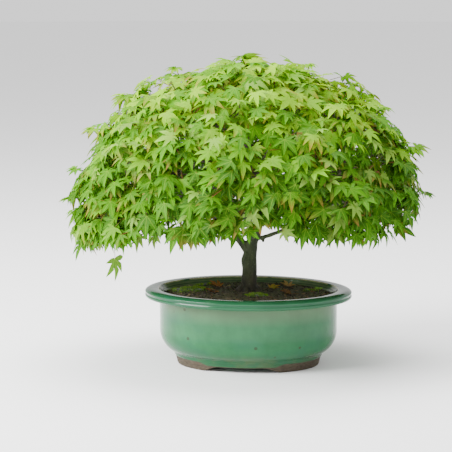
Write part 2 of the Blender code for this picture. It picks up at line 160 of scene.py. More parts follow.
def glaze_material():
    glaze = Shading("green_glaze", 0.14)
    x, y, z = (glaze.part(axis) for axis in "XYZ")
    across = glaze.maths("DIVIDE", y, OVAL)
    square = glaze.maths("ADD", glaze.maths("MULTIPLY", x, x), glaze.maths("MULTIPLY", across, across))
    reach = glaze.maths("SQRT", square)
    cloud = glaze.step(glaze.noise(26, 4, 0.6), 0.35, 0.68)
    green = glaze.mix(cloud, (0.013, 0.105, 0.036), (0.024, 0.148, 0.054))
    run = glaze.step(glaze.noise(60, 3, 0.5, stretch=(1, 1, 0.18)), 0.42, 0.70)
    green = glaze.mix(glaze.maths("MULTIPLY", run, 0.35), green, (0.010, 0.078, 0.028))
    pooled = glaze.step(z, 0.034, 0.016)
    green = glaze.mix(glaze.maths("MULTIPLY", pooled, 0.55), green, (0.010, 0.058, 0.024))
    lip = glaze.step(z, LIP_BOTTOM - 0.001, LIP_BOTTOM + 0.001)
    green = glaze.mix(glaze.maths("MULTIPLY", lip, 0.60), green, (0.014, 0.072, 0.034))
    inside = glaze.maths("MULTIPLY", glaze.step(reach, 0.1315, 0.1285), glaze.step(z, 0.070, 0.090))
    green = glaze.mix(glaze.maths("MULTIPLY", inside, 0.85), green, (0.150, 0.180, 0.105))
    speck = glaze.maths("MULTIPLY", glaze.step(glaze.cells(40), 0.120, 0.085),
                        glaze.step(glaze.noise(11, 2), 0.45, 0.52))
    green = glaze.mix(glaze.maths("MULTIPLY", speck, 0.85), green, (0.030, 0.024, 0.009))
    # Painted shade: dark lines in the groove of the lip and just under the lip.
    for line_height, half in ((LIP_BOTTOM + 0.0069, 0.0007), (LIP_BOTTOM - 0.0006, 0.0009)):
        off_line = glaze.maths("ABSOLUTE", glaze.maths("SUBTRACT", z, line_height))
        painted_shade_line = glaze.step(off_line, half, half * 0.4)
        green = glaze.mix(glaze.maths("MULTIPLY", painted_shade_line, 0.7), green, (0.008, 0.040, 0.026))
    thin = glaze.maths("MULTIPLY", glaze.step(z, 0.030, 0.019),
                       glaze.step(glaze.noise(30, 4, 0.6), 0.45, 0.62))
    green = glaze.mix(glaze.maths("MULTIPLY", thin, 0.45), green, (0.085, 0.110, 0.040))
    blue = glaze.step(glaze.noise(17, 2, 0.5, stretch=(1, 1, 2)), 0.52, 0.66)
    green = glaze.mix(glaze.maths("MULTIPLY", blue, 0.40), green, (0.014, 0.095, 0.052))
    # Cream along the sharp inner edge of the lip: partly glaze broken to cream, partly a painted highlight.
    off_edge = glaze.maths("ABSOLUTE", glaze.maths("SUBTRACT", reach, OPENING_HALF + 0.0006))
    worn_edge_and_highlight = glaze.maths("MULTIPLY", glaze.step(off_edge, 0.0016, 0.0004), glaze.step(z, 0.1075, 0.1090))
    worn_edge_and_highlight = glaze.maths("MULTIPLY", worn_edge_and_highlight, glaze.step(glaze.noise(38, 3), 0.34, 0.46))
    green = glaze.mix(worn_edge_and_highlight, green, (0.480, 0.430, 0.270))
    line = glaze.maths("ADD", z, glaze.maths("MULTIPLY", glaze.noise(55, 3), 0.0022))
    between_feet = glaze.step(glaze.maths("ABSOLUTE", x), 0.062, 0.050)
    line = glaze.maths("ADD", line, glaze.maths("MULTIPLY", between_feet, 0.0042))
    bare = glaze.step(line, GLAZE_LINE + 0.0013, GLAZE_LINE + 0.0008)
    clay_grain = glaze.step(glaze.noise(160, 4, 0.65, stretch=(1, 1, 3)), 0.35, 0.68)
    clay = glaze.mix(clay_grain, (0.038, 0.028, 0.018), (0.092, 0.072, 0.048))
    glaze.colour(glaze.mix(bare, green, clay))
    glaze.shader.inputs["Specular IOR Level"].default_value = 0.28
    gloss = glaze.maths("MULTIPLY", glaze.noise(45, 3), 0.16)
    matt = glaze.maths("ADD", glaze.maths("MULTIPLY", bare, 0.62), gloss)
    glaze.rough(glaze.maths("ADD", matt, 0.06))
    ripple = glaze.maths("ADD", glaze.noise(34, 2), glaze.maths("MULTIPLY", glaze.noise(230, 2), 0.12))
    pits = glaze.maths("SUBTRACT", ripple, glaze.maths("MULTIPLY", speck, 0.5))
    glaze.bump(glaze.maths("ADD", pits, glaze.maths("MULTIPLY", clay_grain, bare)), 0.35, 0.0010)
    return glaze.material


def arc(centre, wide, high, start, end, steps):
    """Points of an elliptic arc in a profile, from one angle in degrees to another."""
    points = []
    for step in range(steps + 1):
        angle = math.radians(start + (end - start) * step / steps)
        points.append((centre[0] + wide * math.cos(angle), centre[1] + high * math.sin(angle)))
    return points


def add_piece(name, shape, material, replaced=(), smooth_to=50.0):
    """Turn a finished bmesh into a piece that stands for its CAD nodes."""
    mesh = bpy.data.meshes.new(name)
    shape.to_mesh(mesh)
    shape.free()
    return place_mesh(name, mesh, material, replaced, smooth_to)


def place_mesh(name, mesh, material, replaced=(), smooth_to=50.0):
    mesh.materials.clear()
    mesh.materials.append(material)
    mesh.shade_smooth()
    if smooth_to:
        mesh.set_sharp_from_angle(angle=math.radians(smooth_to))
    piece = bpy.data.objects.new(name, mesh)
    bpy.context.scene.collection.objects.link(piece)
    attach(piece, "root")
    if replaced:
        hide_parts(*replaced)
    return piece


def baked(piece):
    """A piece's mesh with its modifiers applied."""
    graph = bpy.context.evaluated_depsgraph_get()
    return bpy.data.meshes.new_from_object(piece.evaluated_get(graph))


def pot_profile():
    """Down from the middle of the floor's top, up the inside, over the lip and down to the foot."""
    belly = (WALL_HALF - 0.032, BELLY_LEVEL)
    points = [(0.0, FLOOR_TOP), (0.05, FLOOR_TOP)]
    points += arc(belly, 0.026, 0.038, -73.5, 0, 10)
    points += [(0.124, 0.075), (0.124, 0.0960), (0.1247, 0.0990), (0.1262, 0.1025), (0.1283, 0.1063)]
    points += arc((OPENING_HALF + 0.0012, POT_HEIGHT - 0.0022), 0.0014, 0.0016, 170, 80, 4)
    points += [(0.1350, POT_HEIGHT - 0.0002)]
    points += arc((RIM_HALF - 0.0112, POT_HEIGHT - 0.0052), 0.0108, 0.0052, 92, 8, 9)
    points += [(RIM_HALF - 0.0011, LIP_BOTTOM + 0.0072), (RIM_HALF - 0.0016, LIP_BOTTOM + 0.0066)]
    points += arc((RIM_HALF - 0.0050, LIP_BOTTOM + 0.0034), 0.0045, 0.0034, 42, -88, 8)
    points += [(0.1390, LIP_BOTTOM + 0.0002), (0.1335, LIP_BOTTOM - 0.0001)]
    points += [(0.1312, LIP_BOTTOM - 0.0012), (0.1302, LIP_BOTTOM - 0.0042), (0.1300, 0.080)]
    points += arc(belly, 0.032, 0.036, 0, -68, 14)
    points += [(0.1087, 0.0172), (0.1084, 0.0150), (0.1080, 0.0136), (0.1070, 0.0126), (0.1062, 0.0108)]
    points += [(FOOT_HALF + 0.0012, 0.0022), (FOOT_HALF + 0.0004, 0.0006), (FOOT_HALF - 0.0006, 0.0)]
    points += [(FOOT_HALF - 0.0114, 0.0), (FOOT_HALF - 0.0120, 0.0006)]
    points += [(FOOT_HALF - 0.0126, FLOOR_UNDER - 0.0010), (FOOT_HALF - 0.0140, FLOOR_UNDER)]
    points += [(0.0, FLOOR_UNDER)]
    return points


def arch_cutter():
    """The bar that cuts both arches of the foot, wider below, and the two drain holes."""
    arches = bmesh.new()
    bmesh.ops.create_cube(arches, size=2.0)
    for corner in arches.verts:
        half = ARCH_HALF_TOP if corner.co.z > 0 else ARCH_HALF_BOTTOM
        corner.co = (math.copysign(half, corner.co.x), corner.co.y, corner.co.z * ARCH_HEIGHT)
    bmesh.ops.bevel(arches, geom=[edge for edge in arches.edges
                                  if min(vert.co.z for vert in edge.verts) > 0 and
                                  abs(edge.verts[0].co.x - edge.verts[1].co.x) < 0.001],
                    offset=0.006, segments=5, profile=0.5, affect="EDGES", material=-1)
    for side in (-1, 1):
        place = Matrix.Translation((side * DRAIN_OFFSET, 0, FLOOR_TOP))
        bmesh.ops.create_cone(arches, cap_ends=True, segments=40, radius1=DRAIN_RADIUS,
                              radius2=DRAIN_RADIUS, depth=0.0140, matrix=place)
    mesh = bpy.data.meshes.new("pot_cutter")
    arches.to_mesh(mesh)
    arches.free()
    cutter = bpy.data.objects.new("pot_cutter", mesh)
    bpy.context.scene.collection.objects.link(cutter)
    return cutter


def make_pot():
    shape = bmesh.new()
    corners = [shape.verts.new((radius, 0, height)) for radius, height in pot_profile()]
    edges = [shape.edges.new(pair) for pair in zip(corners, corners[1:])]
    bmesh.ops.spin(shape, geom=corners + edges, cent=(0, 0, 0), axis=(0, 0, 1), angle=math.tau,
                   steps=POT_STEPS, use_merge=True)
    bmesh.ops.remove_doubles(shape, verts=shape.verts, dist=0.00002)
    bmesh.ops.recalc_face_normals(shape, faces=shape.faces)
    bmesh.ops.scale(shape, vec=(1, OVAL, 1), verts=shape.verts)
    pot = add_piece("glazed_pot", shape, glaze_material(), ("pot",), 60)
    cutter = arch_cutter()
    cut = pot.modifiers.new("cut", "BOOLEAN")
    cut.operation = "DIFFERENCE"
    cut.object = cutter
    whole = baked(pot)
    pot.modifiers.clear()
    pot.data = whole
    pot.data.set_sharp_from_angle(angle=math.radians(40))
    bpy.data.objects.remove(cutter)


make_pot()

# --- Drain screens ---------------------------------------------------------------------------
# Squares of black polyethylene mesh laid over the drain holes before the soil went in. They are
# the CAD's own solids, and their open weave is drawn on the plastic.


def make_screens():
    plastic = Shading("screen_plastic", 0.55)
    strands = []
    for axis in "XY":
        wave = plastic.maths("SINE", plastic.maths("MULTIPLY", plastic.part(axis), math.tau / 0.003))
        strands.append(plastic.step(wave, 0.1, 0.5))
    weave = plastic.maths("MAXIMUM", *strands)
    plastic.colour(plastic.mix(weave, (0.008, 0.008, 0.008), (0.045, 0.045, 0.043)))
    plastic.bump(weave, 0.8, 0.0006)
    for name in ("drain_screen_left", "drain_screen_right"):
        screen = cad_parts[name]
        screen.data.materials.clear()
        screen.data.materials.append(plastic.material)


make_screens()

# --- Soil ------------------------------------------------------------------------------------
# Damp loam with grit, heaped a little round the trunk and packed to just below the lip. The
# surface is lumpy, strewn with crumbs, fine gravel, bits of bark and scraps of old leaf.

SOIL_EDGE = 0.102
SOIL_RISE = 0.005
SOIL_HALF = 0.1237
CRUMBS = 2300
SCRAPS = 150


def soil_height(x, y):
    share = (x / SOIL_HALF) ** 2 + (y / (SOIL_HALF * OVAL)) ** 2
    lumps = 0.0011 * noise.noise(Vector((x, y, 0)) * 55) + 0.0006 * noise.noise(Vector((x, y, 4)) * 160)
    return SOIL_EDGE + SOIL_RISE * (1 - share) + lumps


def tint_layer(shape):
    return shape.verts.layers.float_color.new("tint")


def paint(verts, layer, colour):
    for vert in verts:
        vert[layer] = (*colour, 1.0)


def soil_material():
    soil = Shading("damp_soil", 0.9)
    grain = soil.step(soil.noise(420, 5, 0.7), 0.35, 0.70)
    patch = soil.step(soil.noise(45, 3, 0.6), 0.38, 0.66)
    base = soil.mix(grain, (0.024, 0.020, 0.010), (0.125, 0.098, 0.050))
    base = soil.mix(soil.maths("MULTIPLY", patch, 0.5), base, (0.072, 0.082, 0.026))
    soil.colour(base)
    soil.bump(soil.noise(600, 4, 0.7), 0.9, 0.0012)
    return soil.material


def crumb_material():
    crumb = Shading("soil_crumbs", 0.85)
    grain = crumb.step(crumb.noise(700, 4, 0.6), 0.3, 0.7)
    shade = crumb.mix(grain, (0.45, 0.45, 0.45), (1.0, 1.0, 1.0))
    crumb.colour(crumb.mix(1.0, crumb.attribute("tint"), shade, "MULTIPLY"))
    crumb.bump(crumb.noise(900, 3), 0.6, 0.0006)
    return crumb.material


def make_soil():
    shape = bmesh.new()
    bmesh.ops.create_grid(shape, x_segments=150, y_segments=120, size=1.0)
    for vert in shape.verts:
        x, y = vert.co.x, vert.co.y
        disc = Vector((x * math.sqrt(1 - y * y / 2), y * math.sqrt(1 - x * x / 2)))
        px, py = disc.x * (SOIL_HALF - 0.0002), disc.y * (SOIL_HALF - 0.0002) * OVAL
        vert.co = (px, py, soil_height(px, py))
    rim = [edge for edge in shape.edges if edge.is_boundary]
    grown = bmesh.ops.extrude_edge_only(shape, edges=rim)["geom"]
    lower = [item for item in grown if isinstance(item, bmesh.types.BMVert)]
    for vert in lower:
        vert.co.z = SOIL_EDGE - 0.020
    bmesh.ops.holes_fill(shape, edges=[edge for edge in shape.edges if edge.is_boundary], sides=0)
    bmesh.ops.recalc_face_normals(shape, faces=shape.faces)
    add_piece("packed_soil", shape, soil_material(), ("soil",), 80)


def spot_on_soil(rng, share=0.97):
    """A random point of the soil's surface."""
    reach = SOIL_HALF * share * math.sqrt(rng.random())
    angle = rng.uniform(0, math.tau)
    x, y = reach * math.cos(angle), reach * math.sin(angle) * OVAL
    return x, y


def make_crumbs():
    rng = random.Random(11)
    tones = ((0.030, 0.022, 0.013), (0.055, 0.040, 0.024), (0.085, 0.062, 0.036), (0.038, 0.036, 0.020),
             (0.110, 0.085, 0.055), (0.020, 0.016, 0.011), (0.150, 0.125, 0.090))
    shape = bmesh.new()
    layer = tint_layer(shape)
    for _ in range(CRUMBS):
        x, y = spot_on_soil(rng)
        size = 0.0006 + 0.0014 * rng.random() ** 3
        angle = rng.uniform(0, math.tau)
        turn = Matrix.Rotation(angle, 4, Vector((rng.random(), rng.random(), rng.random())))
        squash = Matrix.Diagonal((1, rng.uniform(0.6, 0.9), rng.uniform(0.5, 0.8), 1))
        place = Matrix.Translation((x, y, soil_height(x, y) + size * 0.2)) @ turn @ squash
        made = bmesh.ops.create_icosphere(shape, subdivisions=1, radius=size, matrix=place)["verts"]
        for vert in made:
            vert.co += Vector((rng.uniform(-1, 1), rng.uniform(-1, 1), rng.uniform(-1, 1))) * size * 0.18
        paint(made, layer, rng.choice(tones))
    add_piece("soil_crumbs", shape, crumb_material(), smooth_to=25)


def make_scraps():
    """Flat bits of bark and old leaf, lying this way and that on the crumbs."""
    rng = random.Random(5)
    tones = ((0.210, 0.110, 0.045), (0.120, 0.070, 0.030), (0.300, 0.170, 0.075), (0.075, 0.045, 0.022),
             (0.330, 0.230, 0.110), (0.160, 0.120, 0.070))
    shape = bmesh.new()
    layer = tint_layer(shape)
    for index in range(SCRAPS):
        x, y = spot_on_soil(rng, 0.94)
        long = rng.uniform(0.0018, 0.0052)
        thin = index % 3 == 0
        size = (long * 1.3, 0.0005, 0.0005, 1) if thin else (long, long * rng.uniform(0.3, 0.6), 0.0003, 1)
        tilt = Matrix.Rotation(rng.uniform(-0.5, 0.5), 4, "X")
        tilt = tilt @ Matrix.Rotation(rng.uniform(-0.5, 0.5), 4, "Y")
        turn = Matrix.Rotation(rng.uniform(0, math.tau), 4, "Z")
        place = Matrix.Translation((x, y, soil_height(x, y) + 0.0010)) @ turn @ tilt @ Matrix.Diagonal(size)
        made = bmesh.ops.create_uvsphere(shape, u_segments=7, v_segments=4, radius=1.0, matrix=place)["verts"]
        paint(made, layer, rng.choice(tones))
    add_piece("bark_and_leaf_scraps", shape, crumb_material(), smooth_to=60)


make_soil()
make_crumbs()
make_scraps()

# --- Moss ------------------------------------------------------------------------------------
# Cushions of living moss that have taken hold on the soil, each one a mass of short upright
# shoots, brightest where they are young.

# (CAD node, x, y, half length, half width, height)
MOSSES = (("moss_0", -0.086, 0.006, 0.026, 0.017, 0.0040), ("moss_1", -0.074, 0.050, 0.014, 0.010, 0.0030),
          ("moss_2", 0.018, -0.038, 0.016, 0.010, 0.0030), ("moss_3", 0.088, 0.022, 0.010, 0.008, 0.0025))
MOSS_SHOOTS = 3.0e6  # to each square metre of half length times half width


def moss_material():
    moss = Shading("living_moss", 0.9)
    moss.colour(moss.attribute("tint"))
    moss.shader.inputs["Sheen Weight"].default_value = 0.3
    return moss.material


def ragged(angle, seed):
    """How far the edge of a cushion lies from its oval, as a share."""
    return 1 + 0.45 * noise.noise(Vector((math.cos(angle) * 1.8, math.sin(angle) * 1.8, seed * 90)))


def make_moss():
    rng = random.Random(21)
    material = moss_material()
    for name, x, y, wide, deep, high in MOSSES:
        shape = bmesh.new()
        layer = tint_layer(shape)
        base = bmesh.ops.create_uvsphere(shape, u_segments=40, v_segments=20, radius=1.0)["verts"]
        for vert in base:
            edge = 0.92 * ragged(math.atan2(vert.co.y, vert.co.x), x)
            px, py = x + vert.co.x * wide * edge, y + vert.co.y * deep * edge
            rise = max(0.0, vert.co.z) * high * (0.75 + 0.4 * noise.noise(Vector((px, py, 1)) * 150))
            vert.co = (px, py, soil_height(px, py) + 0.0002 + rise)
        paint(base, layer, (0.030, 0.050, 0.010))
        for _ in range(int(wide * deep * MOSS_SHOOTS)):
            reach, angle = math.sqrt(rng.random()) * 1.12, rng.uniform(0, math.tau)
            across, along_y = reach * math.cos(angle), reach * math.sin(angle)
            px, py = x + wide * across * ragged(angle, x), y + deep * along_y * ragged(angle, x)
            if noise.noise(Vector((px, py, 3)) * 120) > 0.22:
                continue
            top = soil_height(px, py) + high * math.sqrt(max(0.0, 1 - reach * reach)) * 0.85
            lean = Vector((across + rng.uniform(-0.6, 0.6), along_y + rng.uniform(-0.6, 0.6), 1.6))
            lean.normalize()
            tall = rng.uniform(0.0014, 0.0032)
            turn = Vector((0, 0, 1)).rotation_difference(lean).to_matrix().to_4x4()
            place = Matrix.Translation(Vector((px, py, top)) + lean * tall * 0.3) @ turn
            made = bmesh.ops.create_cone(shape, cap_ends=False, segments=3, radius1=0.00045, radius2=0.00012,
                                         depth=tall, matrix=place)["verts"]
            brightening = rng.random() ** 2
            paint(made, layer, (0.055 + 0.190 * brightening, 0.120 + 0.290 * brightening, 0.008 + 0.012 * brightening))
        add_piece(f"{name}_cushion", shape, material, (name,), 60)


make_moss()

# --- Leaves: the blade they all share ----------------------------------------------------------
# A palmate blade of five to seven long pointed lobes on a thin stalk. Each lobe is folded a
# little along its vein and droops towards its tip.

# (turn from the tip in degrees, length as a share of the blade) of the lobes on one side
LOBES = ((0, 1.0), (40, 0.90), (84, 0.68), (126, 0.40))


def blade(pairs, width, fold, droop, twist, seed):
    """One leaf, 1 long, as points, faces and vein values: stalk at the origin, tip to +Y, face to +Z."""
    rng = random.Random(seed)
    lobes = [(-turn, share) for turn, share in reversed(LOBES[1:pairs + 1])] + list(LOBES[:pairs + 1])
    lobes = [(turn + rng.uniform(-5, 5), share * rng.uniform(0.90, 1.06)) for turn, share in lobes]
    points, rims, faces = [], [], []

    def new(reach, aside, turn, rim):
        angle = math.radians(turn)
        x = reach * math.sin(angle) + aside * math.cos(angle)
        y = reach * math.cos(angle) - aside * math.sin(angle)
        points.append(Vector((x, y, fold * abs(aside) - droop * reach * reach + twist * x * y)))
        rims.append(rim)
        return len(points) - 1

    centre = new(0.0, 0.0, 0, 0.0)
    notches = [new(0.10, 0.0, lobes[0][0] - 36, 1.0)]
    for (turn, share), (other, next_share) in zip(lobes, lobes[1:]):
        notches.append(new(0.37 * min(share, next_share) / 0.9, 0.0, (turn + other) / 2, 1.0))
    notches.append(new(0.10, 0.0, lobes[-1][0] + 36, 1.0))
    for index, (turn, share) in enumerate(lobes):
        middle = new(share * 0.50, 0.0, turn, 0.0)
        upper = new(share * 0.76, 0.0, turn, 0.0)
        tip = new(share, 0.0, turn, 0.6)
        for side, notch in ((-1, notches[index]), (1, notches[index + 1])):
            broad = new(share * 0.52, side * width * share, turn, 1.0)
            narrow = new(share * 0.77, side * width * 0.56 * share, turn, 1.0)
            for corners in ((centre, middle, broad, notch), (middle, upper, narrow, broad),
                            (upper, tip, narrow)):
                faces.append(corners if side > 0 else corners[::-1])
    return points, faces, rims


BLADES = [blade(2, 0.165, 0.40, 0.16, 0.0, 1), blade(2, 0.155, 0.26, 0.34, 0.10, 2),
          blade(3, 0.150, 0.46, 0.26, -0.10, 3), blade(3, 0.160, 0.20, 0.10, 0.0, 4),
          blade(2, 0.172, 0.50, 0.46, -0.12, 5), blade(3, 0.145, 0.34, 0.42, 0.14, 6)]


def leaf_layers(shape):
    return shape.verts.layers.float_color.new("tint"), shape.verts.layers.float.new("rim")


def add_blade(shape, layers, source, place, colour, flush=None):
    """Add a copy of a blade, placed and coloured; flush is the colour of its tips."""
    tint, rim = layers
    points, faces, rims = source
    made = []
    for point, value in zip(points, rims):
        vert = shape.verts.new(place @ point)
        share = min(1.0, max(0.0, point.length * 1.5 - 0.6)) if flush else 0.0
        vert[tint] = (*(colour.lerp(flush, share) if share else colour), 1.0)
        vert[rim] = value
        made.append(vert)
    for corners in faces:
        shape.faces.new([made[corner] for corner in corners])


def add_stalk(shape, layers, start, end, radius, colour):
    """A thin three-sided leaf stalk between two points."""
    tint, rim = layers
    way = (end - start).normalized()
    side = way.orthogonal().normalized()
    up = way.cross(side)
    rings = []
    for point, size in ((start, radius * 1.15), (end, radius * 0.8)):
        ring = []
        for number in range(3):
            angle = math.tau * number / 3
            vert = shape.verts.new(point + (side * math.cos(angle) + up * math.sin(angle)) * size)
            vert[tint] = (*colour, 1.0)
            vert[rim] = 0.5
            ring.append(vert)
        rings.append(ring)
    for number in range(3):
        after = (number + 1) % 3
        shape.faces.new((rings[0][number], rings[0][after], rings[1][after], rings[1][number]))
    shape.faces.new(rings[0][::-1])
    shape.faces.new(rings[1])


def leaf_frame(point, tip_way, face_way, size):
    """The matrix that lays a blade at a point, its tip and its face each towards a direction."""
    face = face_way.normalized()
    tip = (tip_way - face * tip_way.dot(face)).normalized()
    side = tip.cross(face)
    turn = Matrix((side, tip, face)).transposed().to_4x4()
    return Matrix.Translation(point) @ turn @ Matrix.Scale(size, 4)


def leaf_material(name, lighter, through, rough):
    """A thin leaf: a paler vein down each lobe, a fine mottle, and light that comes through it."""
    leaf = Shading(name, rough)
    tint = leaf.attribute("tint")
    rim = leaf.attribute("rim", "Fac")
    vein = leaf.step(rim, 0.16, 0.02)
    mottle = leaf.step(leaf.noise(330, 3, 0.6), 0.35, 0.70)
    shade = leaf.mix(mottle, (0.86, 0.90, 0.84), (1.06, 1.04, 1.02))
    between_veins = leaf.mix(1.0, tint, shade, "MULTIPLY")
    body = leaf.mix(leaf.maths("MULTIPLY", vein, 0.55), between_veins, lighter)
    leaf.colour(body)
    leaf.shader.inputs["Specular IOR Level"].default_value = 0.12
    leaf.bump(leaf.maths("ADD", leaf.maths("MULTIPLY", vein, -0.6), leaf.noise(420, 2)), 0.35, 0.0006)
    if through:
        glow = leaf.nodes.new("ShaderNodeBsdfTranslucent")
        both = leaf.nodes.new("ShaderNodeMixShader")
        both.inputs[0].default_value = through
        leaf.links.new(body, glow.inputs["Color"])
        leaf.links.new(leaf.shader.outputs[0], both.inputs[1])
        leaf.links.new(glow.outputs[0], both.inputs[2])
        leaf.links.new(both.outputs[0], leaf.output.inputs["Surface"])
    return leaf.material


# --- Fallen leaves -----------------------------------------------------------------------------
# Last year's leaves, dried to tan and orange-brown. They lie on the soil round the trunk, at the
# places of their CAD nodes, with their lobes curled up.

# (CAD node, x, y, turn in degrees, length, colour)
FALLEN = (("fallen_leaf_0", -0.046, 0.030, 70, 0.019, (0.330, 0.135, 0.045)),
          ("fallen_leaf_1", -0.050, -0.014, 160, 0.017, (0.270, 0.120, 0.045)),
          ("fallen_leaf_2", 0.030, 0.022, -60, 0.018, (0.420, 0.260, 0.050)),
          ("fallen_leaf_3", 0.055, 0.045, 35, 0.017, (0.360, 0.200, 0.090)),
          ("fallen_leaf_4", 0.064, -0.018, 110, 0.018, (0.190, 0.090, 0.040)))


def make_fallen_leaves():
    material = leaf_material("dried_leaf", (0.420, 0.280, 0.150), 0.0, 0.75)
    source = blade(2, 0.155, 0.9, -0.30, 0.2, 9)
    for name, x, y, turn, length, colour in FALLEN:
        shape = bmesh.new()
        layers = leaf_layers(shape)
        angle = math.radians(turn)
        ground = Vector((x, y, soil_height(x, y) + 0.0012))
        tip = Vector((-math.sin(angle), math.cos(angle), 0.05))
        add_blade(shape, layers, source, leaf_frame(ground, tip, Vector((0.15, -0.1, 1)), length), colour)
        add_stalk(shape, layers, ground - tip * length * 0.7, ground, 0.0004, (0.20, 0.10, 0.05))
        add_piece(f"{name}_curled", shape, material, (name,), 0)


make_fallen_leaves()

# --- Seedling ----------------------------------------------------------------------------------
# A weed that has come up at the right: a thin stem with a rosette of small bright leaves. It
# takes its place and height from its CAD node.


def make_seedling():
    rng = random.Random(3)
    low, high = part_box("seedling")
    middle = (low + high) / 2
    foot = Vector((middle.x, middle.y - 0.002, low.z - 0.001))
    crown = Vector((middle.x, middle.y - 0.002, high.z - 0.0030))
    shape = bmesh.new()
    layers = leaf_layers(shape)
    add_stalk(shape, layers, foot, crown, 0.0007, (0.200, 0.330, 0.080))
    for index in range(7):
        angle = index * math.tau / 7 + rng.uniform(-0.3, 0.3)
        out = Vector((math.cos(angle), math.sin(angle), 0.35 + 0.25 * (index % 2)))
        face = Vector((-out.x, -out.y, 2.0))
        add_blade(shape, layers, BLADES[1], leaf_frame(crown, out, face, rng.uniform(0.0065, 0.0085)),
                  (0.330, 0.600, 0.085))
    material = leaf_material("sprout_leaf", (0.450, 0.650, 0.200), 0.30, 0.5)
    add_piece("seedling_rosette", shape, material, ("seedling",), 0)


make_seedling()

# --- Crown: where its leaves sit ----------------------------------------------------------------
# The crown is a thin dome of leaf over bare inner branches, because leaves grow where the light
# is. Every CAD spray fills one cell of it, and the same cells carry the leaves here.

TREE_TURN = math.radians(8)
CROWN_LEVEL = 0.220
CROWN_LONG = 0.252
CROWN_DEEP = 0.226
CROWN_RISE = 0.224
CROWN_DROP = 0.105
CROWN_INNER = 0.875
CAP_TILT = 13
# (number of sprays, lower tilt in degrees) of each ring below the cap
RINGS = ((6, 35), (10, 56), (12, 77), (12, 110))
UNDERSIDE_RISE = 0.20
SKIRT_FRONT = math.radians(22)
SKIRT_BACK = math.radians(8)
tree_turn = Matrix.Rotation(TREE_TURN, 4, "Z")
crown_centre = Vector((0, 0, CROWN_LEVEL))


def crown_point(azimuth, tilt, depth):
    """A point of the crown: tilt is measured from the top, depth is 1 on the outside."""
    rise = CROWN_RISE if tilt < math.pi / 2 else CROWN_DROP
    reach = math.sin(tilt)
    return crown_centre + depth * Vector((CROWN_LONG * reach * math.cos(azimuth),
                                          CROWN_DEEP * reach * math.sin(azimuth),
                                          rise * math.cos(tilt)))


def skirt_tilt(azimuth, lowest):
    """The crown's lower edge: low at the sides, higher at the back and highest at the front."""
    front = max(0.0, -math.sin(azimuth))
    back = max(0.0, math.sin(azimuth))
    return lowest - SKIRT_FRONT * front ** 1.5 - SKIRT_BACK * back


def outward(azimuth, tilt):
    """The way out of the crown's surface."""
    point = crown_point(azimuth, tilt, 1.0) - crown_centre
    rise = CROWN_RISE if tilt < math.pi / 2 else UNDERSIDE_RISE
    return Vector((point.x / CROWN_LONG ** 2, point.y / CROWN_DEEP ** 2, point.z / rise ** 2)).normalized()


def crown_cells():
    """(CAD node, middle azimuth, half azimuth, upper tilt, lower tilt, is the last ring) of each spray."""
    cells = [("leaf_spray_00", 0.0, math.pi, 0.0, math.radians(CAP_TILT), False)]
    upper = math.radians(CAP_TILT)
    for ring, (count, lower) in enumerate(RINGS):
        lower = math.radians(lower)
        for index in range(count):
            cells.append((f"leaf_spray_{len(cells):02d}", math.tau * index / count, math.pi / count,
                          upper, lower, ring == len(RINGS) - 1))
        upper = lower
    return cells


CELLS = crown_cells()

# --- Wood --------------------------------------------------------------------------------------
# One grown piece: a straight young trunk, green with algae higher up, that stands on its roots. It
# forks just below the crown into a low left limb, a leader, a thin right limb with a cut stub, and
# limbs to the front and back, each ending in twigs.

FORK_HEIGHT = 0.180
TRUNK_ROUTE = [Vector(point) for point in (
    (0.0, 0.0, 0.086), (0.0, 0.0, 0.104), (0.0008, 0.0, 0.112), (0.0015, 0.0, 0.125), (0.002, 0.0, 0.140),
    (0.001, 0.0, 0.152), (0.004, 0.0, 0.166), (0.006, 0.001, 0.180), (0.013, 0.003, 0.198),
    (0.019, 0.004, 0.225), (0.010, -0.002, 0.265), (0.000, 0.003, 0.305), (0.004, 0.000, 0.340))]
TRUNK_RADII = (0.0150, 0.0138, 0.0119, 0.0112, 0.0108, 0.0116, 0.0089, 0.0086, 0.0068, 0.0057, 0.0048, 0.0040,
               0.0029)
# (azimuth, height above the fork, first rise, share of the crown reached, height of the end, radii)
LIMBS = (
    (180, -0.020, 0.055, 0.60, 0.262, 0.0062, 0.0034), (2, 0.002, 0.004, 0.62, 0.232, 0.0031, 0.0025),
    (-52, 0.030, 0.030, 0.56, 0.285, 0.0040, 0.0028), (-122, 0.012, 0.034, 0.56, 0.278, 0.0044, 0.0028),
    (56, 0.022, 0.032, 0.58, 0.280, 0.0044, 0.0028), (121, 0.040, 0.028, 0.56, 0.290, 0.0040, 0.0028))
RING_START = (0.58, 0.70, 0.86, 0.97)  # share of its limb at which the twig to each ring starts
ROOTS = 6
TWIG_RADIUS = 0.0022
TWIG_TIP_RADIUS = 0.0014
TWIG_WANDER = 0.0022
WANDER_SHIFTS = (Vector((0, 0, 0)), Vector((9, 0, 0)), Vector((0, 9, 0)))
BARK_VOXEL = 0.0010
DROOP_TIP = Vector((-0.194, -0.030, 0.186))


def bend(start, leave, arrive, end, steps):
    """A cubic route from start to end, leaving and arriving along two handles."""
    points = []
    for step in range(steps + 1):
        t = step / steps
        s = 1 - t
        points.append(start * s ** 3 + (start + leave) * 3 * s * s * t + (end - arrive) * 3 * s * t * t
                      + end * t ** 3)
    return points


def smooth_route(points, radii, steps):
    """A finer route through the same points, with its radii, on a smooth curve."""
    fine, sizes = [], []
    for index in range(len(points) - 1):
        a = points[max(index - 1, 0)]
        b, c = points[index], points[index + 1]
        d = points[min(index + 2, len(points) - 1)]
        for step in range(steps):
            t = step / steps
            fine.append(0.5 * (2 * b + (c - a) * t + (2 * a - 5 * b + 4 * c - d) * t * t
                               + (3 * b - a - 3 * c + d) * t ** 3))
            sizes.append(radii[index] + (radii[index + 1] - radii[index]) * t)
    return fine + [points[-1]], sizes + [radii[-1]]


def taper(first, last, count):
    return [first + (last - first) * step / (count - 1) for step in range(count)]


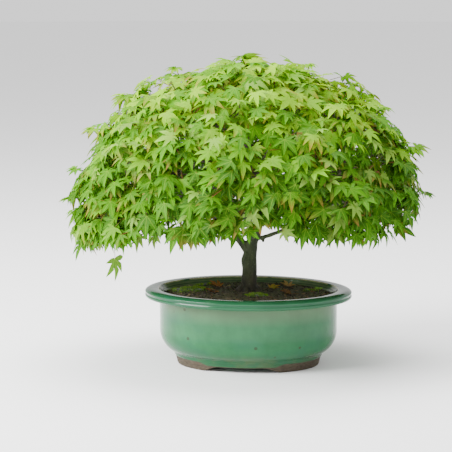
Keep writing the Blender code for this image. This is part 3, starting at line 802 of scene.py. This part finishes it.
def along(points, share):
    place = share * (len(points) - 1)
    index = min(int(place), len(points) - 2)
    return points[index].lerp(points[index + 1], place - index)


def limb_route(azimuth, above, rise, reach, end_height, first, last):
    angle = math.radians(azimuth)
    out = Vector((math.cos(angle), math.sin(angle), 0))
    leave_height = FORK_HEIGHT + above
    below = [point for point in TRUNK_ROUTE if point.z <= leave_height][-1]
    over = TRUNK_ROUTE[TRUNK_ROUTE.index(below) + 1]
    start = below.lerp(over, (leave_height - below.z) / (over.z - below.z))
    span = reach * math.hypot(CROWN_LONG * out.x, CROWN_DEEP * out.y)
    end = Vector((span * out.x, span * out.y, end_height))
    leave = out * span * 0.22 + Vector((0, 0, rise))
    arrive = out * span * 0.40 + Vector((0, 0, 0.012))
    return angle, bend(start, leave, arrive, end, 7), (first, last)


def spray_seat(cell):
    """Where a spray's twig reaches it, at the middle of its inner side, and the way in."""
    name, middle, half, upper, lower, last = cell
    if name == "leaf_spray_00":
        return crown_point(0, 0, CROWN_INNER), Vector((0, 0, -1))
    low = skirt_tilt(middle, lower) if last else lower
    tilt = (upper + low) / 2
    return crown_point(middle, tilt, CROWN_INNER), -outward(middle, tilt)


def wander(place):
    """A push in some direction that changes smoothly from place to place, the same in every run."""
    return Vector([noise.noise(place + shift) for shift in WANDER_SHIFTS])


def wood_routes():
    """Routes with their radii, in two lists: trunk, limbs, stub and roots, then twigs by spray."""
    limbs = [limb_route(*limb) for limb in LIMBS]
    main = [smooth_route(TRUNK_ROUTE, TRUNK_RADII, 5)]
    for _, route, (first, last) in limbs:
        main.append(smooth_route(route, taper(first, last, len(route)), 3))
    stub = along(limbs[1][1], 0.13)
    main.append(([stub, stub + Vector((0.0004, 0, -0.0040)), stub + Vector((0.0006, 0, -0.0072))],
                 (0.0026, 0.0024, 0.0016)))
    for number in range(ROOTS):
        angle = math.tau * number / ROOTS + 0.4
        out = Vector((math.cos(angle), math.sin(angle), 0))
        root = bend(Vector((0, 0, 0.116)), out * 0.010 - Vector((0, 0, 0.006)),
                    out * 0.006 - Vector((0, 0, 0.004)), out * 0.023 + Vector((0, 0, 0.1035)), 6)
        main.append((root, taper(0.0070, 0.0022, len(root))))
    twigs = []
    ring_of = [-1] + [ring for ring, (count, _) in enumerate(RINGS) for _ in range(count)]
    for number, cell in enumerate(CELLS):
        seat, inward = spray_seat(cell)
        ring, azimuth = ring_of[number], cell[1]
        if ring < 1:
            start = along(TRUNK_ROUTE, 0.97 if ring < 0 else 0.80 + 0.025 * (number % 6))
            lean = Vector((0, 0, 0.3))
        else:
            _, route, _ = min(limbs, key=lambda limb: 1 - math.cos(limb[0] - azimuth))
            start = along(route, RING_START[ring] - 0.035 * (number % 3))
            lean = (route[-1] - route[-2]).normalized()
        span = (seat - start).length
        route = bend(start, lean * span * 0.35, -inward * span * 0.38, seat, 9)
        for index in range(2, 9):
            route[index] = route[index] + wander(route[index] * 60) * TWIG_WANDER
        twigs.append((route, taper(TWIG_RADIUS, TWIG_TIP_RADIUS, len(route))))
    droop = bend(along(limbs[0][1], 0.93), Vector((-0.030, -0.016, -0.010)), Vector((0, 0, -0.022)),
                 DROOP_TIP, 8)
    twigs.append((droop, taper(0.0019, 0.0009, len(droop))))
    return main, twigs


def tubes(name, routes, resolution):
    """One mesh of round tapering tubes along routes, turned with the tree."""
    curve = bpy.data.curves.new(name, "CURVE")
    curve.dimensions = "3D"
    curve.bevel_depth = 1.0
    curve.bevel_resolution = resolution
    curve.use_fill_caps = True
    for points, radii in routes:
        spline = curve.splines.new("POLY")
        spline.points.add(len(points) - 1)
        for target, point, radius in zip(spline.points, points, radii):
            target.co = (*point, 1.0)
            target.radius = radius
    blank = bpy.data.objects.new(name, curve)
    bpy.context.scene.collection.objects.link(blank)
    mesh = baked(blank)
    bpy.data.objects.remove(blank)
    shape = bmesh.new()
    shape.from_mesh(mesh)
    bmesh.ops.remove_doubles(shape, verts=shape.verts, dist=0.000005)
    bmesh.ops.recalc_face_normals(shape, faces=shape.faces)
    shape.to_mesh(mesh)
    shape.free()
    mesh.transform(tree_turn)
    return mesh


def bark_material():
    bark = Shading("young_bark", 0.8)
    z = bark.part("Z")
    streak = bark.step(bark.noise(120, 4, 0.6, stretch=(1, 1, 0.22)), 0.34, 0.68)
    brown = bark.mix(streak, (0.013, 0.011, 0.007), (0.058, 0.046, 0.028))
    green = bark.mix(streak, (0.011, 0.018, 0.005), (0.046, 0.062, 0.018))
    climb = bark.maths("ADD", z, bark.maths("MULTIPLY", bark.noise(40, 3), 0.05))
    wood = bark.mix(bark.step(climb, 0.140, 0.175), brown, green)
    fresh = bark.step(z, 0.200, 0.300)
    wood = bark.mix(bark.maths("MULTIPLY", fresh, 0.6), wood, (0.085, 0.050, 0.030))
    lichen = bark.step(bark.noise(210, 3, 0.55), 0.62, 0.70)
    wood = bark.mix(bark.maths("MULTIPLY", lichen, 0.35), wood, (0.150, 0.160, 0.110))
    bark.colour(wood)
    ridges = bark.maths("ADD", streak, bark.noise(340, 3))
    bark.bump(ridges, 0.7, 0.0014)
    return bark.material


BARK = bark_material()
main_routes, twig_routes = wood_routes()


def make_wood():
    mesh = tubes("trunk_and_limbs", main_routes, 6)
    wood = place_mesh("trunk_and_limbs", mesh, BARK, ("trunk_and_branches",), 0)
    skin = wood.modifiers.new("skin", "REMESH")
    skin.mode = "VOXEL"
    skin.voxel_size = BARK_VOXEL
    soften = wood.modifiers.new("soften", "SMOOTH")
    soften.factor = 0.6
    soften.iterations = 5
    grown = baked(wood)
    wood.modifiers.clear()
    for vert, normal in zip(grown.vertices, [vert.normal.copy() for vert in grown.vertices]):
        place = Vector((vert.co.x * 90, vert.co.y * 90, vert.co.z * 28))
        fine = Vector((vert.co.x * 260, vert.co.y * 260, vert.co.z * 90))
        vert.co += normal * (0.00055 * noise.noise(place) + 0.00022 * noise.noise(fine))
    wood.data = grown
    grown.shade_smooth()
    twigs = tubes("twigs", twig_routes, 2)
    place_mesh("twigs", twigs, BARK, smooth_to=0)


make_wood()

# --- Leaf sprays -------------------------------------------------------------------------------
# Each spray is the leaves of one twig: shoots fan out from the twig's end, and pairs of leaves
# hang from them on red-brown stalks. Young leaves at the top are yellow-green and flushed with
# bronze. Those lower down are a deeper green, partly their own colour and partly painted shade;
# those inside are darkened as painted shade, and those low on the left are lightened as painted light.

LEAF_EVERY = 0.000118  # square metres of crown to a leaf
LEAST_LEAVES = 22
SHOOT_LEAVES = 6
INNER_SHARE = 0.42
LEAF_SMALLEST = 0.020
LEAF_LARGEST = 0.0305
STALK_RADIUS = 0.00042
STALK_LENGTH = 0.022
RED_STALK = (0.300, 0.110, 0.040)
OLIVE_STALK = (0.260, 0.250, 0.050)
SHOOT_RADIUS = 0.0011
CROWN_MEAN_RADIUS = 0.232
RIGHT_TUCK = math.radians(27)


def leaf_colour(rng, place, inner):
    """From yellow-green at the top to deep green, lighter on the lower left as painted light, and the colour
    of its tips.
    """
    # painted_sunlight: painted light that lightens the leaves low on the left side of the crown.
    painted_sunlight = min(1.0, max(0.0, -place.x / 0.20 - 0.2)) * min(1.0, max(0.0, (0.34 - place.z) / 0.10))
    # The rise with height is partly yellow new growth at the top and partly painted shade that deepens the
    # lower leaves.
    brightening = min(1.0, max(0.0, (place.z - 0.24) / 0.17)) * 0.74 + 0.36 * painted_sunlight + rng.uniform(-0.26, 0.34)
    brightening = min(1.0, max(0.0, brightening))
    deep = Vector((0.040, 0.135, 0.006))
    mid = Vector((0.092, 0.300, 0.002))
    bright = Vector((0.340, 0.620, 0.005))
    colour = deep.lerp(mid, min(1.0, brightening * 2)).lerp(bright, max(0.0, brightening * 2 - 1))
    if rng.random() < 0.10:
        colour = colour.lerp(Vector((0.400, 0.580, 0.120)), 0.40)
    # Painted shade: leaves inside the crown are darkened.
    colour = colour * (0.82 if inner else 1.0) * rng.uniform(0.86, 1.14)
    if rng.random() < 0.12 + 0.38 * brightening:
        return colour, colour.lerp(Vector((0.420, 0.130, 0.050)), rng.uniform(0.25, 0.85))
    return colour, colour * 1.12


def cell_area(half, upper, lower):
    return 2 * half * CROWN_MEAN_RADIUS ** 2 * (math.cos(upper) - math.cos(lower))


def leafy_edge(azimuth, lower, last):
    """How low the leaves hang: the skirt is tucked up a little further on the right."""
    if not last:
        return lower
    return skirt_tilt(azimuth, lower) - RIGHT_TUCK * max(0.0, math.cos(azimuth)) ** 6


def billow(point):
    """How far the crown's surface swells out or draws in, in metres."""
    return 0.020 * noise.noise(point * 15) + 0.010 * noise.noise(point * 45)


def spray_leaves(cell, rng, shape, layers, shoots):
    """The leaves of one cell, each on a stalk from the nearest shoot; adds the new shoots to shoots."""
    _, middle, half, upper, lower, last = cell
    count = max(LEAST_LEAVES, int(cell_area(half, upper, leafy_edge(middle, lower, last)) / LEAF_EVERY))
    seat, _ = spray_seat(cell)
    routes = []
    for _ in range(max(4, count // SHOOT_LEAVES)):
        azimuth = middle + half * rng.uniform(-0.9, 0.9)
        tilt = upper + (leafy_edge(azimuth, lower, last) - upper) * rng.uniform(0.08, 0.92)
        end = crown_point(azimuth, tilt, 0.95)
        route = bend(seat, (end - seat) * 0.30, outward(azimuth, tilt) * 0.012, end, 4)
        shoots.append((route, taper(SHOOT_RADIUS, 0.0005, len(route))))
        routes.append(route)
    for _ in range(count):
        azimuth = middle + half * rng.uniform(-1.03, 1.03)
        tilt = upper + (leafy_edge(azimuth, lower, last) - upper) * rng.uniform(0.0, 1.02)
        inner = rng.random() < INNER_SHARE
        depth = rng.uniform(0.84, 0.93) if inner else rng.uniform(0.94, 1.01)
        base = crown_point(azimuth, tilt, depth)
        out = outward(azimuth, tilt)
        base += out * billow(base)
        down = Vector((0, 0, -1)) + out * out.z
        down = down.normalized() if down.length > 0.15 else Vector((math.cos(azimuth), math.sin(azimuth), 0))
        side = out.cross(down)
        swing = rng.gauss(0, 0.85 if tilt > 0.7 else 1.5)
        tip = down * math.cos(swing) + side * math.sin(swing) + out * rng.uniform(-0.10, 0.45)
        tip += Vector((0, 0, -0.35))
        steep = 0.75 if tilt > 1.0 else 0.30
        flutter = Vector((rng.gauss(0, 0.32), rng.gauss(0, 0.32), rng.gauss(0, 0.25)))
        face = out + Vector((0, 0, steep)) + flutter
        size = rng.uniform(LEAF_SMALLEST, LEAF_LARGEST)
        colour, flush = leaf_colour(rng, base, inner)
        source = BLADES[rng.randrange(len(BLADES))]
        add_blade(shape, layers, source, leaf_frame(base, tip, face, size), colour, flush)
        nearest = min((point for route in routes for point in route[2:]),
                      key=lambda point: (point - base).length)
        start = nearest.lerp(base, max(0.0, 1 - STALK_LENGTH / max((nearest - base).length, 0.001)))
        stalk = RED_STALK if rng.random() < 0.5 else OLIVE_STALK
        add_stalk(shape, layers, start, base, STALK_RADIUS, stalk)


# (azimuth, tilt, how far past the crown's surface, turn upward) of shoots that stick out
STRAYS = ((181, 84, 0.012, 0.0), (2, 66, 0.020, 0.6), (178, 43, 0.018, 0.9), (184, 58, 0.018, 0.7),
          (176, 24, 0.012, 0.5), (4, 20, 0.009, 0.8), (-4, 82, 0.010, 0.1), (150, 62, 0.016, 0.4),
          (30, 50, 0.016, 0.6), (-95, 40, 0.012, 0.5), (90, 66, 0.016, 0.3), (176, 74, 0.012, 0.2),
          (-8, 48, 0.014, 0.5), (-150, 30, 0.012, 0.7), (60, 28, 0.012, 0.8))


def stray_leaves(rng, shape, layers, shoots):
    """Long shoots that have grown out past the others, each with a few leaves at its end."""
    for azimuth, tilt, past, up in STRAYS:
        azimuth, tilt = math.radians(azimuth), math.radians(tilt)
        out = outward(azimuth, tilt)
        start = crown_point(azimuth, tilt, 0.92)
        end = crown_point(azimuth, tilt, 1.0) + out * past * 0.5
        way = (out + Vector((0, 0, up))).normalized()
        shoots.append((bend(start, out * 0.006, way * 0.006, end, 4), taper(SHOOT_RADIUS, 0.0006, 5)))
        for turn in (-0.9, 0.1, 1.0):
            side = way.cross(Vector((0, 0, 1))).normalized()
            tip = way * 0.8 + side * turn + Vector((0, 0, -0.15))
            face = Vector((0, 0, 1)) + way * 0.25 + side * turn * 0.2
            face += Vector((0, rng.uniform(-0.4, 0.4), 0))
            colour, flush = leaf_colour(rng, end, False)
            base = end + tip.normalized() * 0.004
            place = leaf_frame(base, tip, face, past * 1.15 + 0.004)
            add_blade(shape, layers, BLADES[rng.randrange(2)], place, colour, flush)
            add_stalk(shape, layers, end, base, STALK_RADIUS, RED_STALK)


def make_sprays():
    material = leaf_material("maple_leaf", (0.300, 0.480, 0.030), 0.42, 0.50)
    rng = random.Random(1972)
    shoots = []
    for cell in CELLS:
        shape = bmesh.new()
        layers = leaf_layers(shape)
        spray_leaves(cell, rng, shape, layers, shoots)
        if cell is CELLS[0]:
            stray_leaves(rng, shape, layers, shoots)
        bmesh.ops.transform(shape, matrix=tree_turn, verts=shape.verts)
        add_piece(f"{cell[0]}_leaves", shape, material, (cell[0],), 0)
    place_mesh("leafy_shoots", tubes("leafy_shoots", shoots, 0), BARK, smooth_to=0)
    return material


MAPLE = make_sprays()

# --- Hanging leaf --------------------------------------------------------------------------------
# One leaf on a long weak shoot has dropped out of the crown at the left and hangs tip down. The
# shoot is one of the twigs; its stalk and blade are made here.


def make_hanging_leaf():
    shape = bmesh.new()
    layers = leaf_layers(shape)
    base = DROOP_TIP + Vector((0.001, 0, -0.027))
    add_stalk(shape, layers, DROOP_TIP, base, 0.0005, (0.30, 0.24, 0.08))
    place = leaf_frame(base, Vector((0.06, 0, -1)), Vector((0.88, -0.55, 0.12)), 0.035)
    add_blade(shape, layers, BLADES[0], place, (0.150, 0.330, 0.030))
    bmesh.ops.transform(shape, matrix=tree_turn, verts=shape.verts)
    add_piece("hanging_leaf_blade", shape, MAPLE, ("hanging_leaf",), 0)


make_hanging_leaf()

# --- Floor, light and camera ---------------------------------------------------------------------
# A plain pale floor under a white sky, a large soft light from the front left, a weaker one
# overhead, and a long lens that looks down a little.

CAMERA_AZIMUTH = math.radians(8)
CAMERA_RISE = math.radians(8.2)
CAMERA_AWAY = 3.4
VIEW_WIDTH = 0.658  # metres across the view at the tree
SENSOR_WIDTH = 36.0
LOOK_AT = Vector((-0.0325, 0, 0.2020))
FLOOR_RADIUS = 9.0
SKY_STRENGTH = 1.25


def make_stage():
    floor_shape = bmesh.new()
    bmesh.ops.create_circle(floor_shape, cap_ends=True, radius=FLOOR_RADIUS, segments=64)
    mesh = bpy.data.meshes.new("floor")
    floor_shape.to_mesh(mesh)
    floor_shape.free()
    pale = Shading("pale_floor", 0.9)
    pale.colour((0.92, 0.92, 0.92))
    mesh.materials.append(pale.material)
    floor = bpy.data.objects.new("floor", mesh)
    bpy.context.scene.collection.objects.link(floor)
    world = bpy.data.worlds.new("studio")
    world.use_nodes = True
    sky = world.node_tree.nodes["Background"]
    sky.inputs["Color"].default_value = (1.0, 1.0, 1.0, 1.0)
    sky.inputs["Strength"].default_value = SKY_STRENGTH
    bpy.context.scene.world = world


def make_light(name, place, target, size, power):
    lamp = bpy.data.lights.new(name, "AREA")
    lamp.size = size
    lamp.energy = power
    light = bpy.data.objects.new(name, lamp)
    light.location = place
    light.rotation_euler = (Vector(target) - Vector(place)).to_track_quat("-Z", "Y").to_euler()
    bpy.context.scene.collection.objects.link(light)


def make_camera():
    lens = bpy.data.cameras.new("camera")
    lens.lens = SENSOR_WIDTH * CAMERA_AWAY / VIEW_WIDTH
    lens.clip_end = 50
    camera = bpy.data.objects.new("camera", lens)
    bpy.context.scene.collection.objects.link(camera)
    back = Vector((0, -math.cos(CAMERA_RISE), math.sin(CAMERA_RISE)))
    turn = Matrix.Rotation(CAMERA_AZIMUTH, 3, "Z")
    camera.location = turn @ (LOOK_AT + back * CAMERA_AWAY)
    camera.rotation_euler = (turn @ -back).to_track_quat("-Z", "Y").to_euler()
    bpy.context.scene.camera = camera


make_stage()
make_light("key", (-1.9, -1.2, 1.5), (0, 0, 0.22), 1.5, 215)
make_light("top", (0.0, 0.3, 2.1), (0, 0, 0.3), 1.6, 70)
make_camera()
